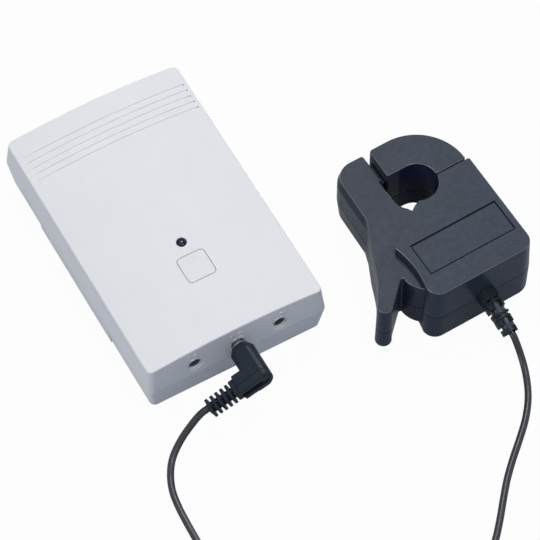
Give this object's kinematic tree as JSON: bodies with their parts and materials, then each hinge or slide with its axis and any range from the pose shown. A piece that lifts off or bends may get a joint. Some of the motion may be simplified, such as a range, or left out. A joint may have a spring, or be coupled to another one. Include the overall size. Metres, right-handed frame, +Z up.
{
  "type": "wireless energy monitor",
  "caption": "Battery transmitter box with jack sockets, push button and lamp, corded through a right-angle plug to a spring-loaded split-core clamp that senses current in a cable.",
  "frame": {"origin": "middle of the transmitter's base, on the table", "axes": "+X to the right along the socket end, +Y from the socket end to the vent grooves, +Z up from the table"},
  "size_m": [0.1537, 0.2267, 0.031],
  "materials": {
    "white_case": "satin moulded",
    "black_shell": "fine matt moulded",
    "cord_rubber": "satin",
    "dark_moulding": "moulded",
    "lamp_lens": "polished",
    "board": "solder mask",
    "module_can": "tinned",
    "cell_jacket": "wrapped",
    "plated_metal": "nickel plated",
    "steel": "zinc plated",
    "core_steel": "ground pole faces",
    "bobbin": "moulded",
    "copper": "enamelled wire"
  },
  "bodies": {
    "monitor": {"upper_shell": "white_case", "lower_shell": "white_case", "tact_switch": "dark_moulding", "status_led": "lamp_lens", "circuit_board": "board", "socket_left": "dark_moulding", "socket_centre": "dark_moulding", "socket_right": "dark_moulding", "radio_module": "module_can", "main_chip": "dark_moulding", "antenna": "dark_moulding", "board_screws": "steel", "battery_cells": "cell_jacket", "battery_contacts": "plated_metal", "battery_springs": "steel", "case_screws": "steel", "plug_pin": "plated_metal", "plug_body": "cord_rubber", "plug_strain_relief": "cord_rubber", "cord_plug_run": "cord_rubber", "cord_coil": "cord_rubber", "coil_tie": "cord_rubber", "cord_clamp_run": "cord_rubber", "clamp_strain_relief": "cord_rubber", "clamp_base": "black_shell", "clamp_cover": "black_shell", "arch_cap": "black_shell", "fixed_core": "core_steel", "winding_bobbin": "bobbin", "secondary_winding": "copper", "pivot_pin": "steel", "torsion_spring": "steel", "clamp_screws": "steel"},
    "button": {"pair_button": "white_case", "switch_plunger": "dark_moulding"},
    "door": {"battery_door": "white_case"},
    "jaw": {"jaw_lower": "black_shell", "jaw_upper": "black_shell", "moving_core": "core_steel", "jaw_screws": "steel"}
  },
  "joints": [
    {"name": "button_press", "type": "slide", "parent": "monitor", "child": "button", "axis": [0, 0, -1], "range_m": [0, 0.0005], "stiffness_N_per_m": 600, "springref_m": -0.0003},
    {"name": "door_slide", "type": "slide", "parent": "monitor", "child": "door", "axis": [-1, 0, 0], "range_m": [0, 0.016]},
    {"name": "jaw_hinge", "type": "hinge", "parent": "monitor", "child": "jaw", "pos_m": [0.07061, -0.06427, 0.0155], "axis": [0, 0, 1], "range_deg": [0, 24], "stiffness_Nm_per_rad": 0.12, "springref_deg": -34.38}
  ]
}
